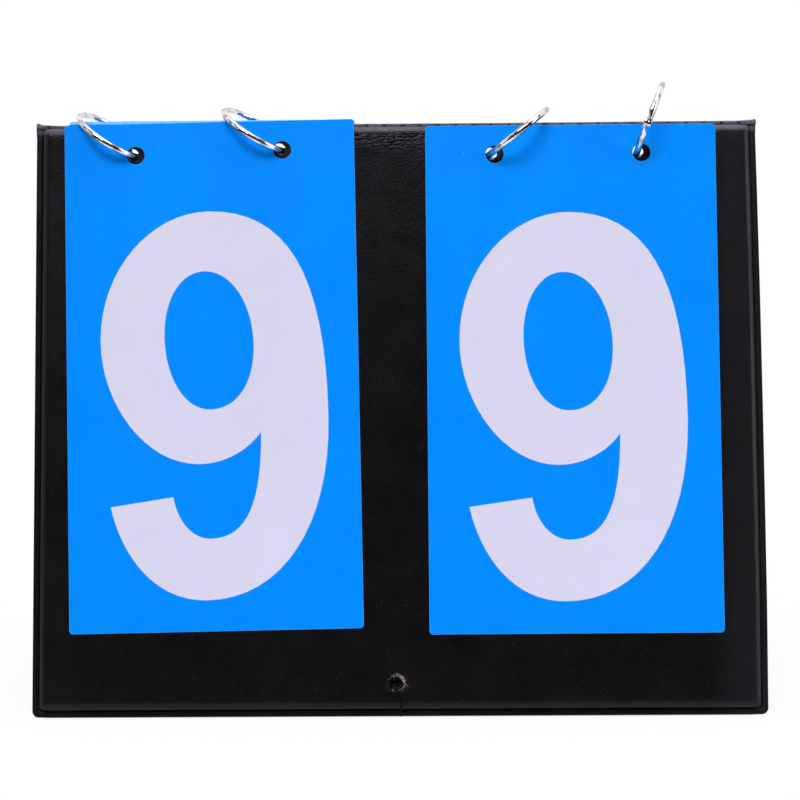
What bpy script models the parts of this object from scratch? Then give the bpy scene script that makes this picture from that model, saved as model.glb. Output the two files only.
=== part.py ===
"""Flip scoreboard: a table-top easel of two vinyl-covered boards with two decks of number cards on rings.

The front faces -Y, +Z is up, and the origin lies on the table below the ridge. Each board is modelled
flat in its own frame: +X across, +Z up the slope with the ridge hinge at 0, and -Y out of its face.
Values are millimetres until they reach a mesh.
"""

import math

import bmesh
import bpy
from mathutils import Matrix, Vector

MM = 0.001

# Boards
BOARD_WIDTH = 256.0
BOARD_LENGTH = 210.0
LEAN_BACK = math.radians(15)
CORE_THICKNESS = 2.4
VINYL_THICKNESS = 0.4
WELD_WIDTH = 2.4
WELD_THICKNESS = 0.8
TOP_WELD_WIDTH = 0.8
ROUNDING = 3.0
CORNER_RADIUS = 2.4
SIDE_WALL = 0.6
CLEARANCE = 0.1
RIDGE_RADIUS = 1.0
RIDGE_GAP = 0.3

# Cards
CARD_WIDTH = 102.7
CARD_LENGTH = 180.0
CARD_THICKNESS = 0.3
CARD_PITCH = 0.34
CARD_CORNER = 1.2
CARD_HOLE = 6.4
CARD_HOLE_DROP = 10.8
CARD_STANDOFF = 0.3
CARDS_IN_DECK = 10

# Decks: edge of the board to where a centred card would begin, top edge below the ridge, how far the
# cards hang out of true, seen from the front, and how far their holes are punched out of line and off centre
HOLE_SPACING = 52.0
LEFT_MARGIN = 10.25
RIGHT_MARGIN = 15.75
DECKS = {
    "left": {
        "middle": CARD_WIDTH / 2 + LEFT_MARGIN - BOARD_WIDTH / 2,
        "top": 0.8,
        "turn": math.radians(0.6),
        "punch": math.radians(1.3),
        "off_centre": 0.2,
    },
    "right": {
        "middle": BOARD_WIDTH / 2 - RIGHT_MARGIN - CARD_WIDTH / 2,
        "top": 1.8,
        "turn": math.radians(0.15),
        "punch": math.radians(0.25),
        "off_centre": 0.8,
    },
}
RING_HOLE = 8.0

# Rings
RING_RADIUS = 13.5
WIRE_DIAMETER = 2.3
RING_SPLIT_GAP = 0.3
RIVET_DIAMETER = 1.3
RIVET_HEAD = 2.2

# Tether
TETHER_DIAMETER = 0.9
TETHER_HOLE = 5.6
TETHER_HOLE_X = -1.4
TETHER_HOLE_RISE = 11.4
KNOT_DIAMETER = 3.2

# How far a cutting shape runs past what it cuts
SPARE = 2.0

# Derived sizes
BOARD_THICKNESS = CORE_THICKNESS + 2 * VINYL_THICKNESS
RIDGE_HEIGHT = BOARD_LENGTH * math.cos(LEAN_BACK)
BOARD_TOP = RIDGE_RADIUS + RIDGE_GAP
FOOT_TRIM = WELD_THICKNESS * math.tan(LEAN_BACK)
CORE_BACK = VINYL_THICKNESS + CLEARANCE / 2
CAVITY_FACE = BOARD_THICKNESS - VINYL_THICKNESS
CARD_SEAT = BOARD_THICKNESS + CARD_STANDOFF + CARD_THICKNESS / 2
FLIP = 2 * math.pi - 2 * LEAN_BACK
TETHER_HOLE_DROP = BOARD_LENGTH - TETHER_HOLE_RISE
STRING_X = TETHER_HOLE_X + 2.0
NOTCH_HEIGHT = TETHER_DIAMETER + 0.8
NOTCH_WIDTH = TETHER_DIAMETER + 1.4
KNOT_Y = KNOT_DIAMETER / 2 + 0.8
KNOT_Z = -TETHER_HOLE_DROP - TETHER_HOLE
CHORD_FACE = BOARD_THICKNESS + 1.0

# Rings as they hang: sideways lean, turn about the vertical, and how far the ring sits beside its holes
RINGS = {
    "left_outer": {"deck": "left", "side": -1, "lean": -57, "yaw": -13, "shift": 0.2, "hinge_end": 1},
    "left_inner": {"deck": "left", "side": 1, "lean": -58, "yaw": -13, "shift": 0.2, "hinge_end": 1},
    "right_inner": {"deck": "right", "side": -1, "lean": 52, "yaw": -6, "shift": -0.8, "hinge_end": 1},
    "right_outer": {"deck": "right", "side": 1, "lean": 20, "yaw": -8, "shift": -0.7, "hinge_end": -1},
}

COLOURS = {
    "vinyl": ((0.016, 0.016, 0.019), 0.42, 0.0),
    "greyboard": ((0.42, 0.36, 0.29), 0.9, 0.0),
    "card": ((0.0, 0.26, 1.0), 0.4, 0.0),
    "chrome": ((0.75, 0.75, 0.76), 0.1, 1.0),
    "string": ((0.012, 0.012, 0.013), 0.85, 0.0),
}


def clear_scene():
    """Empties the file of the objects that it opens with."""
    for old in list(bpy.data.objects):
        bpy.data.objects.remove(old)


def material(name):
    """One Principled material for each finish, made once."""
    found = bpy.data.materials.get(name)
    if found:
        return found
    colour, roughness, metallic = COLOURS[name]
    made = bpy.data.materials.new(name)
    made.use_nodes = True
    shader = made.node_tree.nodes["Principled BSDF"]
    shader.inputs["Base Color"].default_value = (*colour, 1.0)
    shader.inputs["Roughness"].default_value = roughness
    shader.inputs["Metallic"].default_value = metallic
    return made


def add_object(name, data, finish, frame, smooth=False):
    """Links a mesh or curve as a named piece that stands in a frame, which is an empty."""
    piece = bpy.data.objects.new(name, data)
    bpy.context.scene.collection.objects.link(piece)
    piece.parent = frame
    if finish:
        data.materials.clear()
        data.materials.append(material(finish))
    if smooth:
        data.shade_smooth()
        data.set_sharp_from_angle(angle=math.radians(40))
    return piece


def add_frame(name, matrix):
    """An empty that carries pieces; its matrix is in millimetres."""
    frame = bpy.data.objects.new(name, None)
    bpy.context.scene.collection.objects.link(frame)
    scaled = matrix.copy()
    scaled.translation = matrix.translation * MM
    frame.matrix_world = scaled
    return frame


def mesh_from(bm, name):
    """Turns a bmesh in millimetres into a mesh in metres whose faces point out."""
    bmesh.ops.recalc_face_normals(bm, faces=bm.faces)
    bmesh.ops.scale(bm, vec=(MM, MM, MM), verts=bm.verts)
    mesh = bpy.data.meshes.new(name)
    bm.to_mesh(mesh)
    bm.free()
    return mesh


def cut(piece, cutter):
    """Takes a cutter's shape out of a piece and keeps the cutter as a hidden guide."""
    cutter.hide_render = True
    cutter.display_type = "WIRE"
    modifier = piece.modifiers.new("cut_" + cutter.name, "BOOLEAN")
    modifier.operation = "DIFFERENCE"
    modifier.solver = "EXACT"
    modifier.object = cutter


def join(piece, other):
    """Fuses another shape into a piece."""
    other.hide_render = True
    other.display_type = "WIRE"
    modifier = piece.modifiers.new("join_" + other.name, "BOOLEAN")
    modifier.operation = "UNION"
    modifier.solver = "EXACT"
    modifier.object = other


def rounded_outline(left, right, bottom, top, radius, steps=4):
    """Corner points of a rectangle with round corners, as (x, z) pairs going round once."""
    corners = ((right, top, 0), (left, top, 90), (left, bottom, 180), (right, bottom, 270))
    points = []
    for x, z, start in corners:
        cx = x - math.copysign(radius, x)
        cz = z - radius if z == top else z + radius
        for step in range(steps + 1):
            angle = math.radians(start + 90 * step / steps)
            points.append((cx + radius * math.cos(angle), cz + radius * math.sin(angle)))
    return points


def board_outline(inset):
    """A board's outline, drawn in from the edge of its weld; the weld is narrower along the ridge.

    The lower edge runs a little below the table, where it is cut off level.
    """
    half = BOARD_WIDTH / 2 - inset
    top_inset = max(0.0, inset - (WELD_WIDTH - TOP_WELD_WIDTH))
    radius = max(CORNER_RADIUS - 0.3 * inset, 0.8)
    return rounded_outline(-half, half, inset - BOARD_LENGTH - FOOT_TRIM, -BOARD_TOP - top_inset, radius)


def loft(levels):
    """A closed solid through board outlines; each level is (height out of the back face, inset)."""
    bm = bmesh.new()
    rings = []
    for out, inset in levels:
        rings.append([bm.verts.new((x, -out, z)) for x, z in board_outline(inset)])
    count = len(rings[0])
    for lower, upper in zip(rings, rings[1:]):
        for i in range(count):
            j = (i + 1) % count
            bm.faces.new((lower[i], lower[j], upper[j], upper[i]))
    bm.faces.new(rings[0])
    bm.faces.new(rings[-1])
    return bm


def plate(outline, holes, back, front):
    """A flat sheet with round holes; holes are (x, z, diameter), back and front are heights out."""
    bm = bmesh.new()
    loops = [outline]
    sides = 18
    turn = [2 * math.pi * i / sides for i in range(sides)]
    for x, z, diameter in holes:
        radius = diameter / 2 / math.cos(math.pi / sides)
        loops.append([(x + radius * math.cos(a), z + radius * math.sin(a)) for a in turn])
    edges = []
    for loop in loops:
        verts = [bm.verts.new((x, -back, z)) for x, z in loop]
        edges += [bm.edges.new((verts[i - 1], verts[i])) for i in range(len(verts))]
    bmesh.ops.triangle_fill(bm, edges=edges, use_beauty=True)
    grown = bmesh.ops.extrude_face_region(bm, geom=bm.faces[:])
    moved = [v for v in grown["geom"] if isinstance(v, bmesh.types.BMVert)]
    bmesh.ops.translate(bm, vec=(0, back - front, 0), verts=moved)
    return bm


def cylinder(x, z, diameter, back, front, sides=24):
    """A round bar that stands out of a board, used for holes."""
    bm = bmesh.new()
    place = Matrix.Translation((x, -(back + front) / 2, z)) @ Matrix.Rotation(math.pi / 2, 4, "X")
    radius = diameter / 2 / math.cos(math.pi / sides)
    bmesh.ops.create_cone(bm, cap_ends=True, segments=sides, radius1=radius, radius2=radius,
                          depth=front - back, matrix=place)
    return bm


def block(low, high):
    """A box between two corners."""
    bm = bmesh.new()
    size = Vector(high) - Vector(low)
    place = Matrix.Translation((Vector(high) + Vector(low)) / 2) @ Matrix.Diagonal((*size, 1))
    bmesh.ops.create_cube(bm, size=1.0, matrix=place)
    return bm


def hole_across(ring):
    """How far across the boards a ring's holes are."""
    return DECKS[ring["deck"]]["middle"] + ring["side"] * HOLE_SPACING / 2


def hole_drop(ring):
    """How far below the ridge a ring's holes are."""
    deck = DECKS[ring["deck"]]
    tilt = ring["side"] * HOLE_SPACING / 2 * math.sin(deck["turn"] + deck["punch"])
    return deck["top"] + CARD_HOLE_DROP - tilt


def ring_hole_places(sign):
    """Where the ring holes are on a board; the rear board looks the other way, so its X is turned."""
    return [(sign * hole_across(ring), -hole_drop(ring), RING_HOLE) for ring in RINGS.values()]


def build_board(side, sign, frame, table):
    """One easel board: moulded cover with its welded edge, stiff core, and flat lining."""
    quarter = [math.radians(a) for a in (0, 22.5, 45, 67.5, 90)]
    rise = BOARD_THICKNESS - WELD_THICKNESS
    shell = [(0.0, 0.0), (WELD_THICKNESS, 0.0)]
    for a in quarter:
        shell.append((WELD_THICKNESS + rise * math.sin(a), WELD_WIDTH + ROUNDING * (1 - math.cos(a))))
    wall = WELD_WIDTH + SIDE_WALL
    shoulder = WELD_THICKNESS + 0.45 * rise
    inner = WELD_WIDTH + ROUNDING - VINYL_THICKNESS
    cover = add_object(side + "_cover", mesh_from(loft(shell), side + "_cover"), "vinyl", frame, True)
    cavity = loft([(-SPARE, wall), (shoulder, wall), (CAVITY_FACE, inner)])
    cut(cover, add_object(side + "_cavity", mesh_from(cavity, side + "_cavity"), None, frame))
    level = block((-BOARD_WIDTH, -BOARD_LENGTH, -SPARE), (BOARD_WIDTH, BOARD_LENGTH, 0))
    cut(cover, add_object(side + "_table", mesh_from(level, side + "_table"), None, table))
    string = sign * STRING_X
    slot = block((string - NOTCH_WIDTH / 2, -WELD_THICKNESS - 1, -BOARD_LENGTH - SPARE),
                 (string + NOTCH_WIDTH / 2, SPARE, NOTCH_HEIGHT - BOARD_LENGTH))
    cut(cover, add_object(side + "_string_slot", mesh_from(slot, side + "_slot"), None, frame))
    holes = ring_hole_places(sign)
    holes.append((sign * TETHER_HOLE_X, -TETHER_HOLE_DROP, TETHER_HOLE))
    loft_core = loft([(CORE_BACK, wall + CLEARANCE), (shoulder - CLEARANCE, wall + CLEARANCE),
                      (CAVITY_FACE - CLEARANCE, inner + CLEARANCE)])
    core = add_object(side + "_core", mesh_from(loft_core, side + "_core"), "greyboard", frame)
    for i, (x, z, diameter) in enumerate(holes):
        bar = mesh_from(cylinder(x, z, diameter, -SPARE, BOARD_THICKNESS + SPARE), f"{side}_hole_{i}")
        cutter = add_object(f"{side}_hole_{i}", bar, None, frame)
        cut(cover, cutter)
        cut(core, cutter)
    sheet = plate(board_outline(wall + CLEARANCE), holes, 0.0, VINYL_THICKNESS)
    add_object(side + "_lining", mesh_from(sheet, side + "_lining"), "vinyl", frame)


def build_ridge(frame):
    """The welded bead that the two covers hinge on."""
    bm = bmesh.new()
    length = BOARD_WIDTH - 2 * CORNER_RADIUS
    bmesh.ops.create_cone(bm, cap_ends=True, segments=16, radius1=RIDGE_RADIUS, radius2=RIDGE_RADIUS,
                          depth=length, matrix=Matrix.Rotation(math.pi / 2, 4, "Y"))
    add_object("ridge_bead", mesh_from(bm, "ridge_bead"), "vinyl", frame, True)


def arc_tube(rise, radius, diameter, start, end, steps, sides=8):
    """A wire bent round an arc in the YZ plane, with flat ends; its centre is a rise above the origin."""
    bm = bmesh.new()
    rings = []
    for step in range(steps + 1):
        angle = math.radians(start + (end - start) * step / steps)
        out = Vector((0, math.cos(angle), math.sin(angle)))
        ring = []
        for side in range(sides):
            turn = 2 * math.pi * side / sides
            spoke = out * math.cos(turn) + Vector((1, 0, 0)) * math.sin(turn)
            ring.append(bm.verts.new(out * radius + spoke * diameter / 2))
        rings.append(ring)
    for near, far in zip(rings, rings[1:]):
        for i in range(sides):
            j = (i + 1) % sides
            bm.faces.new((near[i], near[j], far[j], far[i]))
    bm.faces.new(rings[0])
    bm.faces.new(rings[-1])
    bmesh.ops.translate(bm, vec=(0, 0, rise), verts=bm.verts)
    return bm


def disc(hinge, diameter, low, high, sides=20):
    """A round disc or pin along X at a ring's hinge, which is given as (y, z)."""
    bm = bmesh.new()
    place = Matrix.Translation(((low + high) / 2, *hinge)) @ Matrix.Rotation(math.pi / 2, 4, "Y")
    bmesh.ops.create_cone(bm, cap_ends=True, segments=sides, radius1=diameter / 2,
                          radius2=diameter / 2, depth=high - low, matrix=place)
    return bm


def board_point(sign, drop, out):
    """World (y, z) of a point on a board: sign -1 is the front board and 1 the rear one."""
    y = sign * (drop * math.sin(LEAN_BACK) + out * math.cos(LEAN_BACK))
    return Vector((y, RIDGE_HEIGHT - drop * math.cos(LEAN_BACK) + out * math.sin(LEAN_BACK)))


def build_ring(name, ring):
    """A hinged book ring: the lower half stays in the holes, and the upper half opens on its rivet."""
    chord_half, chord_z = board_point(1, hole_drop(ring), CHORD_FACE)
    rise = math.sqrt(RING_RADIUS**2 - chord_half**2)
    turn = Matrix.Rotation(math.radians(ring["yaw"]), 4, "Z") @ Matrix.Rotation(math.radians(ring["lean"]), 4, "Y")
    place = Matrix.Translation((hole_across(ring) + ring["shift"], 0, chord_z))
    frame = add_frame(f"ring_{name}_frame", place @ turn)
    end = ring["hinge_end"]
    hinge = (end * RING_RADIUS, rise)
    snap = math.degrees(RING_SPLIT_GAP / 2 / RING_RADIUS)
    eye = WIRE_DIAMETER * 1.35
    reach = WIRE_DIAMETER / 2 + CLEARANCE
    leaf = (WIRE_DIAMETER - CLEARANCE) / 2
    near, far = (0, 180 - snap) if end > 0 else (snap, 180)
    slack = CLEARANCE / 2
    halves = {"upper": (near, far, slack, (-reach, slack)), "lower": (-near, -far, -slack - leaf, (-slack, reach))}
    for half, (start, stop, low, lap) in halves.items():
        tube = arc_tube(rise, RING_RADIUS, WIRE_DIAMETER, start, stop, 20)
        piece = add_object(f"ring_{name}_{half}", mesh_from(tube, f"ring_{name}_{half}"), "chrome", frame, True)
        relief = mesh_from(disc(hinge, eye + 2 * CLEARANCE, *lap), "relief")
        cut(piece, add_object(f"ring_{name}_{half}_relief", relief, None, frame))
        ear = mesh_from(disc(hinge, eye, low, low + leaf), f"ring_{name}_{half}_eye")
        join(piece, add_object(f"ring_{name}_{half}_eye", ear, None, frame))
        bore = disc(hinge, RIVET_DIAMETER + 2 * CLEARANCE, low - SPARE, low + leaf + SPARE)
        bore = mesh_from(bore, "bore")
        cut(piece, add_object(f"ring_{name}_{half}_bore", bore, None, frame))
    pin = mesh_from(disc(hinge, RIVET_DIAMETER, -reach, reach), f"ring_{name}_rivet")
    rivet = add_object(f"ring_{name}_rivet", pin, "chrome", frame, True)
    for tag, low in (("near", -reach - 0.3), ("far", reach - 0.02)):
        head = mesh_from(disc(hinge, RIVET_HEAD, low, low + 0.32), f"ring_{name}_{tag}_head")
        join(rivet, add_object(f"ring_{name}_{tag}_head", head, None, frame))


def card_axis(deck, number):
    """World (y, z) of the line that a card turns about, so that it lies flat at the front and at the back."""
    drop = DECKS[deck]["top"] + CARD_HOLE_DROP
    front = board_point(-1, drop, CARD_SEAT + (CARDS_IN_DECK - 1 - number) * CARD_PITCH)
    back = board_point(1, drop, CARD_SEAT + number * CARD_PITCH)
    half = (back - front) / 2
    up = Vector((-half.y, half.x))
    return front + half + up / math.tan(LEAN_BACK)


def build_deck(deck, front_board):
    """Ten number cards on one pair of rings: the highest hangs in front and the rest hang behind."""
    place = DECKS[deck]
    half = CARD_WIDTH / 2
    off_centre = place["off_centre"]
    outline = rounded_outline(off_centre - half, off_centre + half, -CARD_LENGTH, 0.0, CARD_CORNER, 3)
    holes = []
    for side in (-1, 1):
        across = side * HOLE_SPACING / 2
        holes.append((across, across * math.sin(place["punch"]) - CARD_HOLE_DROP, CARD_HOLE))
    mesh = mesh_from(plate(outline, holes, -CARD_THICKNESS / 2, CARD_THICKNESS / 2), f"card_{deck}")
    pivot = Vector((0, 0, -CARD_HOLE_DROP)) * MM
    askew = Matrix.Translation(pivot) @ Matrix.Rotation(-place["turn"], 4, "Y") @ Matrix.Translation(-pivot)
    for number in range(CARDS_IN_DECK):
        rank = CARDS_IN_DECK - 1 - number
        hang = Vector((place["middle"], -CARD_SEAT - rank * CARD_PITCH, -place["top"])) * MM
        in_front = front_board.matrix_world @ Matrix.Translation(hang) @ askew
        y, z = card_axis(deck, number)
        axis = add_frame(f"card_{deck}_{number}_axis", Matrix.Translation((0, y, z)))
        card = add_object(f"card_{deck}_{number}", mesh, "card", axis)
        turned = Matrix.Rotation(-FLIP if rank else 0.0, 4, "X")
        to_axis = axis.matrix_world.inverted()
        card.matrix_basis = turned @ to_axis @ in_front


def smooth_route(points, spacing):
    """Points a fixed way apart on a smooth curve through a route's own points."""
    ends = [2 * points[0] - points[1], *points, 2 * points[-1] - points[-2]]
    fine = []
    for a, b, c, d in zip(ends, ends[1:], ends[2:], ends[3:]):
        for i in range(24):
            t = i / 24
            fine.append(0.5 * (2 * b + (c - a) * t + (2 * a - 5 * b + 4 * c - d) * t**2
                               + (3 * b - a - 3 * c + d) * t**3))
    fine.append(points[-1])
    reach = sum((b - a).length for a, b in zip(fine, fine[1:]))
    count = max(4, round(reach / spacing))
    route, walked, target = [fine[0]], 0.0, 1
    for a, b in zip(fine, fine[1:]):
        step = (b - a).length
        while target < count and walked + step >= reach * target / count:
            route.append(a.lerp(b, (reach * target / count - walked) / step))
            target += 1
        walked += step
    return route + [fine[-1]]


def add_string(name, points, frame, spacing=2.2):
    """A tube of the tether's size along a smooth route; the spacing of its points is in diameters."""
    curve = bpy.data.curves.new(name, "CURVE")
    curve.dimensions = "3D"
    curve.bevel_depth = TETHER_DIAMETER / 2 * MM
    curve.bevel_resolution = 2
    curve.use_fill_caps = True
    route = smooth_route(points, spacing * TETHER_DIAMETER)
    spline = curve.splines.new("POLY")
    spline.points.add(len(route) - 1)
    for knot, point in zip(spline.points, route):
        knot.co = (*(point * MM), 1.0)
    return add_object(name, curve, "string", frame)


def add_knot(name, centre, frame):
    """A small tied knot, as a squat rounded bead."""
    bm = bmesh.new()
    shape = Matrix.Translation(centre) @ Matrix.Diagonal((0.8, 1.0, 0.8, 1.0))
    bmesh.ops.create_uvsphere(bm, u_segments=12, v_segments=8, radius=KNOT_DIAMETER / 2, matrix=shape)
    return add_object(name, mesh_from(bm, name), "string", frame, True)


def string_loop(sign):
    """The loop's route in a board's frame: up inside, out of the hole, down the face and under the edge."""
    x = sign * STRING_X
    hole = sign * TETHER_HOLE_X
    skin = TETHER_DIAMETER / 2 + 0.35
    face = BOARD_THICKNESS + skin
    edge = -BOARD_LENGTH
    centre = -TETHER_HOLE_DROP
    return [
        Vector((x, KNOT_Y - 0.2, KNOT_Z + KNOT_DIAMETER * 0.4 + 0.3)),
        Vector((x, skin + 0.3, centre - 2.6)),
        Vector((0.5 * (x + hole), skin - 0.2, centre - 0.9)),
        Vector((hole, -0.5 * BOARD_THICKNESS, centre - 0.5)),
        Vector((hole, -face + 0.2, centre - 1.2)),
        Vector((0.6 * x + 0.4 * hole, -face, centre - 3.2)),
        Vector((x, -face, centre - 5.2)),
        Vector((x, -face + 0.5, edge + 3.6)),
        Vector((x, -WELD_THICKNESS - 1.0, edge + 1.7)),
        Vector((x, -0.5 * WELD_THICKNESS, edge + 0.92)),
        Vector((x, skin + 0.2, edge + 1.9)),
        Vector((x, KNOT_Y - 0.2, KNOT_Z - KNOT_DIAMETER * 0.4 - 0.3)),
    ]


def build_tether(boards):
    """The string that stops the boards from spreading: a tied loop on each board and the span between."""
    ends = []
    for side, sign in (("front", 1), ("rear", -1)):
        frame = boards[side]
        add_string(f"tether_{side}_loop", string_loop(sign), frame)
        centre = Vector((sign * STRING_X, KNOT_Y, KNOT_Z))
        add_knot(f"tether_{side}_knot", centre, frame)
        local = Vector((sign * STRING_X, KNOT_Y + KNOT_DIAMETER / 2 + 0.3, KNOT_Z))
        ends.append(frame.matrix_world @ (local * MM) / MM)
    front, rear = ends
    middle = (front + rear) / 2 - Vector((0, 0, 0.8))
    add_string("tether_span", [front, middle, rear], None, 6.0)


def build():
    """Builds the whole scoreboard."""
    clear_scene()
    ridge = Matrix.Translation((0, 0, RIDGE_HEIGHT))
    recline = Matrix.Rotation(-LEAN_BACK, 4, "X")
    boards = {
        "front": add_frame("front_board", ridge @ recline),
        "rear": add_frame("rear_board", ridge @ Matrix.Rotation(math.pi, 4, "Z") @ recline),
    }
    bpy.context.view_layer.update()
    table = add_frame("table_level", Matrix.Identity(4))
    build_board("front", 1, boards["front"], table)
    build_board("rear", -1, boards["rear"], table)
    build_ridge(add_frame("ridge_line", ridge))
    for name, ring in RINGS.items():
        build_ring(name, ring)
    for deck in DECKS:
        build_deck(deck, boards["front"])
    build_tether(boards)


build()
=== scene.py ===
"""Looks of the flip scoreboard: grained welded vinyl, printed cards, plated rings, string, light and camera.

Places come from the loaded frame. A board's own frame is +X across, +Z up the slope with the ridge hinge
at 0 and -Y out of its face, in millimetres, as in the part's source.
"""

import math
import random

import bmesh
import bpy
import numpy as np
from mathutils import Matrix, Vector, noise

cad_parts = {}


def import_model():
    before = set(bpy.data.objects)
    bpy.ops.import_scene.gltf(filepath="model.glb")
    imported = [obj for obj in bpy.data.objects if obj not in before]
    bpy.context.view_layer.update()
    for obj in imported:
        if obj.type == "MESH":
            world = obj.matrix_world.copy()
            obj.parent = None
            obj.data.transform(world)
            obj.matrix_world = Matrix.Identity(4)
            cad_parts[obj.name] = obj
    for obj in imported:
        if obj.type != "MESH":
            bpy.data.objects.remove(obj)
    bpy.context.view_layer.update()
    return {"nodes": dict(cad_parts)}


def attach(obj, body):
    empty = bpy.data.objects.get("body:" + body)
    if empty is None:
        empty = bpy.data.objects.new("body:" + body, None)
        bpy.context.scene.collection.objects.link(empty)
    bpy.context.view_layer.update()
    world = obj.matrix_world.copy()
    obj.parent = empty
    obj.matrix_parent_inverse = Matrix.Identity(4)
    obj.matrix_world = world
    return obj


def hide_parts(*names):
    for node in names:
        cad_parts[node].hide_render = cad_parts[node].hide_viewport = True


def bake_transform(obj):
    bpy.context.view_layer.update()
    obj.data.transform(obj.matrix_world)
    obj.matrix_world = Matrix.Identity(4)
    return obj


MM = 0.001

# Sizes of the frame, in millimetres, as the part's source names them
BOARD_WIDTH = 256.0
BOARD_LENGTH = 210.0
LEAN_BACK = math.radians(15)
BOARD_THICKNESS = 3.2
WELD_WIDTH = 2.4
WELD_THICKNESS = 0.8
TOP_WELD_WIDTH = 0.8
ROUNDING = 3.0
CORNER_RADIUS = 2.4
SIDE_WALL = 0.6
VINYL_THICKNESS = 0.4
CLEARANCE = 0.1
BOARD_TOP = 1.3
CARD_WIDTH = 102.7
CARD_LENGTH = 180.0
CARD_THICKNESS = 0.3
CARD_PITCH = 0.34
CARD_CORNER = 1.2
CARD_HOLE = 6.4
CARD_HOLE_DROP = 10.8
CARD_STANDOFF = 0.3
CARDS_IN_DECK = 10
HOLE_SPACING = 52.0
DECKS = {
    "left": {"middle": -66.4, "top": 0.8, "turn": math.radians(0.95), "punch": math.radians(0.95),
             "off_centre": 0.2},
    "right": {"middle": 60.9, "top": 1.8, "turn": math.radians(0.15), "punch": math.radians(0.25),
              "off_centre": 0.8},
}
RING_HOLE = 8.0
RING_RADIUS = 13.5
WIRE_DIAMETER = 2.3
RIVET_DIAMETER = 1.3
RIVET_HEAD = 2.2
RINGS = {
    "left_outer": {"deck": "left", "side": -1, "lean": -57, "yaw": -13, "shift": 0.2, "hinge_end": 1},
    "left_inner": {"deck": "left", "side": 1, "lean": -58, "yaw": -13, "shift": 0.2, "hinge_end": 1},
    "right_inner": {"deck": "right", "side": -1, "lean": 52, "yaw": -6, "shift": -0.8, "hinge_end": 1},
    "right_outer": {"deck": "right", "side": 1, "lean": 20, "yaw": -8, "shift": -0.7, "hinge_end": -1},
}
TETHER_DIAMETER = 0.9
TETHER_HOLE = 5.6
TETHER_HOLE_X = -1.4
TETHER_HOLE_RISE = 11.4
KNOT_DIAMETER = 3.2
RIDGE_HEIGHT = BOARD_LENGTH * math.cos(LEAN_BACK)
CARD_SEAT = BOARD_THICKNESS + CARD_STANDOFF + CARD_THICKNESS / 2
FLIP = 2 * math.pi - 2 * LEAN_BACK
TETHER_HOLE_DROP = BOARD_LENGTH - TETHER_HOLE_RISE
STRING_X = TETHER_HOLE_X + 2.0
CHORD_FACE = BOARD_THICKNESS + 1.0
KNOT_Y = KNOT_DIAMETER / 2 + 0.8
KNOT_Z = -TETHER_HOLE_DROP - TETHER_HOLE

# What the photograph adds to the plain solids: finer forms, and small shifts of the cards' edges
ACROSS = 128
DOWN = 104
CORNER_STEPS = 6
INNER_EDGE = 6.6
FOOT_TRIM = WELD_THICKNESS * math.tan(LEAN_BACK)
FLARE = ((-205.0, 0.65), (-170.0, 0.87), (-135.0, 0.8), (-100.0, 0.65), (-63.0, 0.4), (-27.0, 0.0),
         (-3.0, -0.35))
EAR_RISE = 1.2
FOOTPRINT = (("X", 256.0), ("Y", 114.0))
TICK_PITCH = 6.3
TICK_PHASE = 2.3
TICK_WIDTH = 0.55
TICK_DEPTH = 0.13
FOLD_TOP = RIDGE_HEIGHT - 0.75
FOLD_WALL = 0.3
WIRE_HOLE = WIRE_DIAMETER + 2.2
FRONT_TRIM = {"left": -0.2, "right": 0.55}
FRONT_RISE = {"left": 0.35, "right": 0.0}
BACK_TURN = {"left": math.radians(0.8), "right": 0.0}
BACK_TRIM = {"left": 0.55, "right": 2.1}
INK_THICKNESS = 0.015
FRAY_ACROSS = 0.3
FRAY_DROP = 0.4
FRAY_TOWARD = math.radians(42)
LINING_TONGUES = 9

# Camera, fitted to the outlines in the photograph
SENSOR = 36.0
FRAME_PIXELS = 800.0
FOCAL_PIXELS = 2200.0
CAMERA_DISTANCE = 775.0
CAMERA_RISE = math.radians(10.37)
CAMERA_YAW = math.radians(0.40)
CAMERA_ROLL = math.radians(-0.40)
CAMERA_AIM = Vector((0.9, -27.0, RIDGE_HEIGHT - 96.0))


def board_matrix(side):
    """A board's own frame in the world, in metres."""
    ridge = Matrix.Translation((0, 0, RIDGE_HEIGHT * MM))
    recline = Matrix.Rotation(-LEAN_BACK, 4, "X")
    if side == "front":
        return ridge @ recline
    return ridge @ Matrix.Rotation(math.pi, 4, "Z") @ recline


def board_point(sign, drop, out):
    """World (y, z) of a point on a board: sign -1 is the front board and 1 the rear one."""
    y = sign * (drop * math.sin(LEAN_BACK) + out * math.cos(LEAN_BACK))
    return Vector((y, RIDGE_HEIGHT - drop * math.cos(LEAN_BACK) + out * math.sin(LEAN_BACK)))


def add_piece(name, data, finish, matrix=None, smooth=True):
    """Links a mesh as a named piece."""
    piece = bpy.data.objects.new(name, data)
    bpy.context.scene.collection.objects.link(piece)
    if matrix is not None:
        piece.matrix_world = matrix
    if finish is not None:
        data.materials.clear()
        data.materials.append(finish)
    if smooth:
        data.shade_smooth()
        data.set_sharp_from_angle(angle=math.radians(35))
    return piece


def declare(piece, body=None, node=None):
    """Tells the frame the body a piece rides on and the solid it stands for."""
    if body:
        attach(piece, body)
    if node:
        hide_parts(node)


def mesh_from(bm, name):
    """Turns a bmesh in millimetres into a mesh in metres whose faces point out."""
    bmesh.ops.recalc_face_normals(bm, faces=bm.faces)
    bmesh.ops.scale(bm, vec=(MM, MM, MM), verts=bm.verts)
    mesh = bpy.data.meshes.new(name)
    bm.to_mesh(mesh)
    bm.free()
    return mesh


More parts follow.
